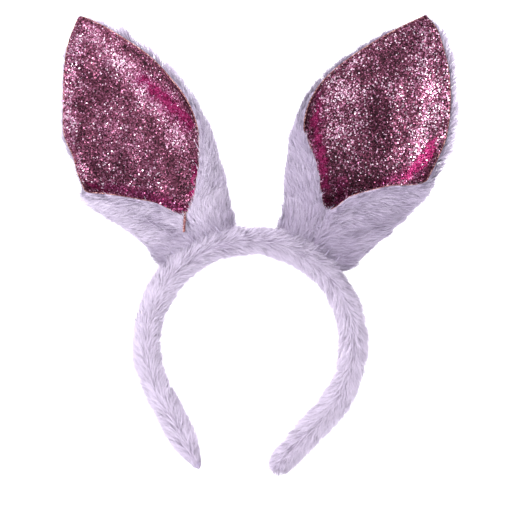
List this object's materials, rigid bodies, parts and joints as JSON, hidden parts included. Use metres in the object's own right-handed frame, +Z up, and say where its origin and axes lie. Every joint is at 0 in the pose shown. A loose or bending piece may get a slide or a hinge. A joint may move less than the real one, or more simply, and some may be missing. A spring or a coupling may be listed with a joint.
{
  "type": "animal ears headband",
  "caption": "Bunny-ear costume headband: a springy open hoop covered in lavender faux fur with upright wired ears, glitter-faced in front and furry behind.",
  "frame": {"origin": "centre of the circle that the hoop follows, in the hoop's middle plane, which is the centre of the opening for the head", "axes": "+Z up through the crown of the hoop, -Y the front that the glitter faces, +X to the right of someone facing the front"},
  "size_m": [0.2445, 0.0473, 0.2911],
  "materials": {
    "hoop_plastic": "satin",
    "fur": "long soft pile",
    "glitter": "coarse glitter",
    "wadding": "matte",
    "edge_tape": "satin",
    "thread": "satin",
    "wire": "drawn"
  },
  "bodies": {
    "crown": {"hoop_crown": "hoop_plastic", "sleeve_crown": "fur", "seam_crown": "thread", "left_ear_root": "fur", "left_root_stitches": "thread", "right_ear_root": "fur", "right_root_stitches": "thread"},
    "left_arm": {"hoop_left_arm": "hoop_plastic", "sleeve_left_arm": "fur", "seam_left_arm": "thread", "left_tip_gather": "thread"},
    "left_ear": {"left_ear_foot": "fur", "left_ear_vee_tack": "thread", "left_ear_front_lower": "glitter", "left_ear_back_lower": "fur", "left_ear_wadding_lower": "wadding", "left_ear_edge_tape_lower": "edge_tape", "left_ear_wire_lower": "wire"},
    "left_ear_tip": {"left_ear_front_upper": "glitter", "left_ear_back_upper": "fur", "left_ear_wadding_upper": "wadding", "left_ear_edge_tape_upper": "edge_tape", "left_ear_wire_upper": "wire"},
    "right_arm": {"hoop_right_arm": "hoop_plastic", "sleeve_right_arm": "fur", "seam_right_arm": "thread", "right_tip_gather": "thread"},
    "right_ear": {"right_ear_foot": "fur", "right_ear_vee_tack": "thread", "right_ear_front_lower": "glitter", "right_ear_back_lower": "fur", "right_ear_wadding_lower": "wadding", "right_ear_edge_tape_lower": "edge_tape", "right_ear_wire_lower": "wire"},
    "right_ear_tip": {"right_ear_front_upper": "glitter", "right_ear_back_upper": "fur", "right_ear_wadding_upper": "wadding", "right_ear_edge_tape_upper": "edge_tape", "right_ear_wire_upper": "wire"}
  },
  "joints": [
    {"name": "left_arm_flex", "type": "hinge", "parent": "crown", "child": "left_arm", "pos_m": [-0.05016, 0, 0.04134], "axis": [0, 1, 0], "range_deg": [-4, 12], "stiffness_Nm_per_rad": 0.8},
    {"name": "left_ear_tilt", "type": "hinge", "parent": "crown", "child": "left_ear", "pos_m": [-0.03879, 0, 0.07428], "axis": [0.8829, 0, 0.4695], "range_deg": [-30, 45]},
    {"name": "left_ear_fold", "type": "hinge", "parent": "left_ear", "child": "left_ear_tip", "pos_m": [-0.08117, 0.00577, 0.15617], "axis": [0.8695, -0.1736, 0.4623], "range_deg": [-20, 45]},
    {"name": "right_arm_flex", "type": "hinge", "parent": "crown", "child": "right_arm", "pos_m": [0.05915, 0, 0.02695], "axis": [0, -1, 0], "range_deg": [-4, 12], "stiffness_Nm_per_rad": 0.8},
    {"name": "right_ear_tilt", "type": "hinge", "parent": "crown", "child": "right_ear", "pos_m": [0.04544, 0, 0.0703], "axis": [0.8988, 0, -0.4384], "range_deg": [-30, 45]},
    {"name": "right_ear_fold", "type": "hinge", "parent": "right_ear", "child": "right_ear_tip", "pos_m": [0.08549, 0.00585, 0.15335], "axis": [0.8966, 0.0698, -0.4373], "range_deg": [-20, 45]}
  ]
}
